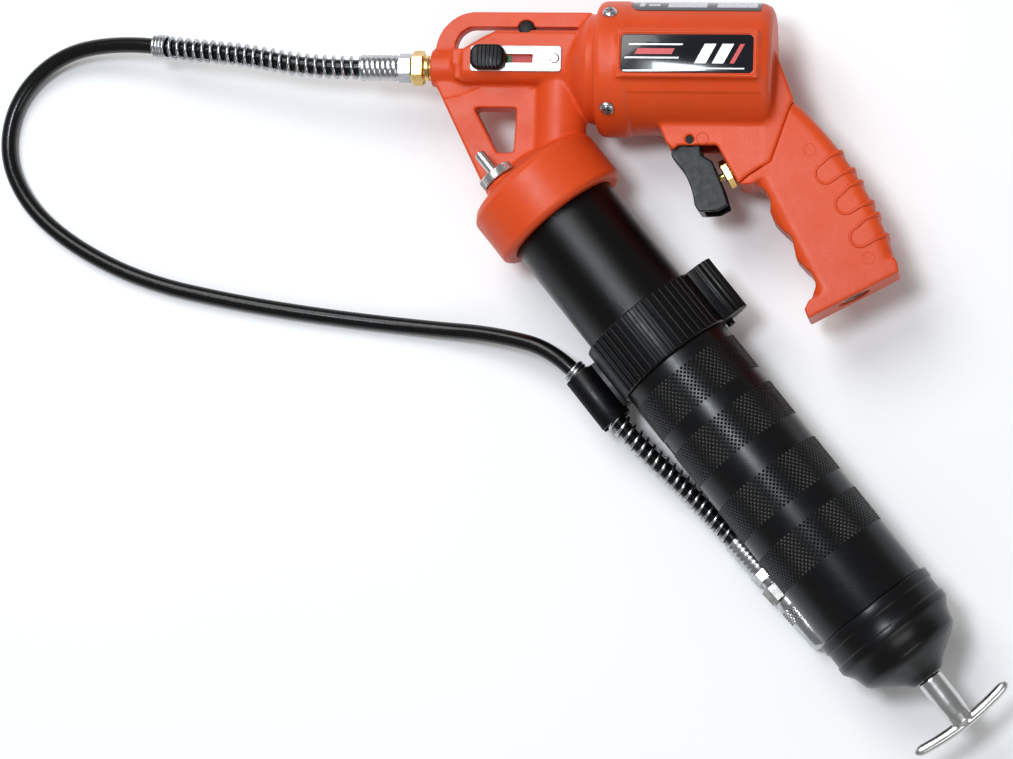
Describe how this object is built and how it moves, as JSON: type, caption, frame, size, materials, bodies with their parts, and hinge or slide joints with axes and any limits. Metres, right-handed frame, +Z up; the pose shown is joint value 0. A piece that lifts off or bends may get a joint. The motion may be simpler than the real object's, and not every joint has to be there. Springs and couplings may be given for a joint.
{
  "type": "grease gun",
  "caption": "Air-operated pistol grease gun lying on its side: cast head with hanging loop and collar, piston air motor, tubular barrel with pull handle, and a hose with a coupler in its clip.",
  "frame": {"origin": "bottom centre of the box around the gun without its hose, on the surface it lies on", "axes": "+Z up, out of the plane that holds the pump and barrel axes; +X along the pump axis from the grease outlet to the air motor; +Y square to it, away from the barrel"},
  "size_m": [0.5193, 0.365, 0.071],
  "materials": {
    "orange_casting": "satin",
    "black_powder_coat": "textured",
    "black_enamel": "satin",
    "black_plastic": "satin",
    "black_rubber": "matte",
    "hose_rubber": "gloss",
    "brass": "polished",
    "zinc_steel": "bright zinc",
    "steel": "machined",
    "chrome": "polished",
    "bright_aluminium": "satin",
    "label_film": "gloss"
  },
  "bodies": {
    "gun": {"head_casting": "orange_casting", "motor_housing": "orange_casting", "grip": "orange_casting", "outlet_adapter": "brass", "pump_sleeve": "steel", "outlet_spring": "zinc_steel", "selector_plate": "bright_aluminium", "plate_screw": "zinc_steel", "loop_plug": "black_rubber", "barrel_gasket": "black_rubber", "flange_screws": "zinc_steel", "side_label": "label_film", "top_label": "label_film", "motor_gasket": "black_rubber", "motor_liner": "steel", "return_spring": "zinc_steel", "inlet_bushing": "steel", "inlet_strainer": "brass", "trigger_pin": "steel", "valve_body": "brass", "valve_spring": "zinc_steel", "barrel_tube": "black_powder_coat", "grip_sleeve": "black_enamel", "end_cap": "black_enamel", "follower_spring": "zinc_steel", "hose_holder": "black_plastic", "holder_pin": "black_plastic", "hose": "hose_rubber", "outlet_guard": "zinc_steel", "coupler_guard": "zinc_steel", "outlet_ferrule": "zinc_steel", "coupler_ferrule": "zinc_steel", "coupler_body": "steel", "coupler_sleeve": "zinc_steel", "coupler_jaws": "steel"},
    "trigger_lever": {"trigger": "black_plastic"},
    "valve_plunger": {"valve_stem": "brass"},
    "selector": {"selector_knob": "black_plastic"},
    "follower": {"follower_handle": "chrome", "follower_cup": "steel"},
    "bleeder": {"bleeder_valve": "steel"},
    "air_piston_unit": {"air_piston": "steel", "piston_seal": "black_rubber"},
    "check_ball": {"outlet_ball": "steel"}
  },
  "joints": [
    {"name": "trigger_pull", "type": "hinge", "parent": "gun", "child": "trigger_lever", "pos_m": [-0.0098, 0.1122, 0.0355], "axis": [0, 0, 1], "range_deg": [0, 9], "stiffness_Nm_per_rad": 1, "springref_deg": -5.73, "deforming": ["valve_spring"]},
    {"name": "valve_open", "type": "slide", "parent": "gun", "child": "valve_plunger", "axis": [0.8695, 0.4939, 0], "range_m": [0, 0.0036]},
    {"name": "selector_slide", "type": "slide", "parent": "gun", "child": "selector", "axis": [1, 0, 0], "range_m": [0, 0.0165]},
    {"name": "follower_pull", "type": "slide", "parent": "gun", "child": "follower", "axis": [0.6428, -0.766, 0], "range_m": [0, 0.2], "stiffness_N_per_m": 100, "springref_m": -0.15, "deforming": ["follower_spring"]},
    {"name": "bleeder_turn", "type": "hinge", "parent": "gun", "child": "bleeder", "pos_m": [-0.10543, 0.09552, 0.053], "axis": [0.6428, -0.766, 0], "range_deg": [0, 360]},
    {"name": "piston_stroke", "type": "slide", "parent": "gun", "child": "air_piston_unit", "axis": [-1, 0, 0], "range_m": [0, 0.025], "stiffness_N_per_m": 400, "springref_m": -0.02, "deforming": ["return_spring"]},
    {"name": "check_open", "type": "slide", "parent": "gun", "child": "check_ball", "axis": [-1, 0, 0], "range_m": [0, 0.0015], "stiffness_N_per_m": 60, "springref_m": -0.004, "deforming": ["outlet_spring"]}
  ],
  "couplings": [
    {"joint": "valve_open", "follows": "trigger_pull", "m_per_rad": 0.021246}
  ]
}
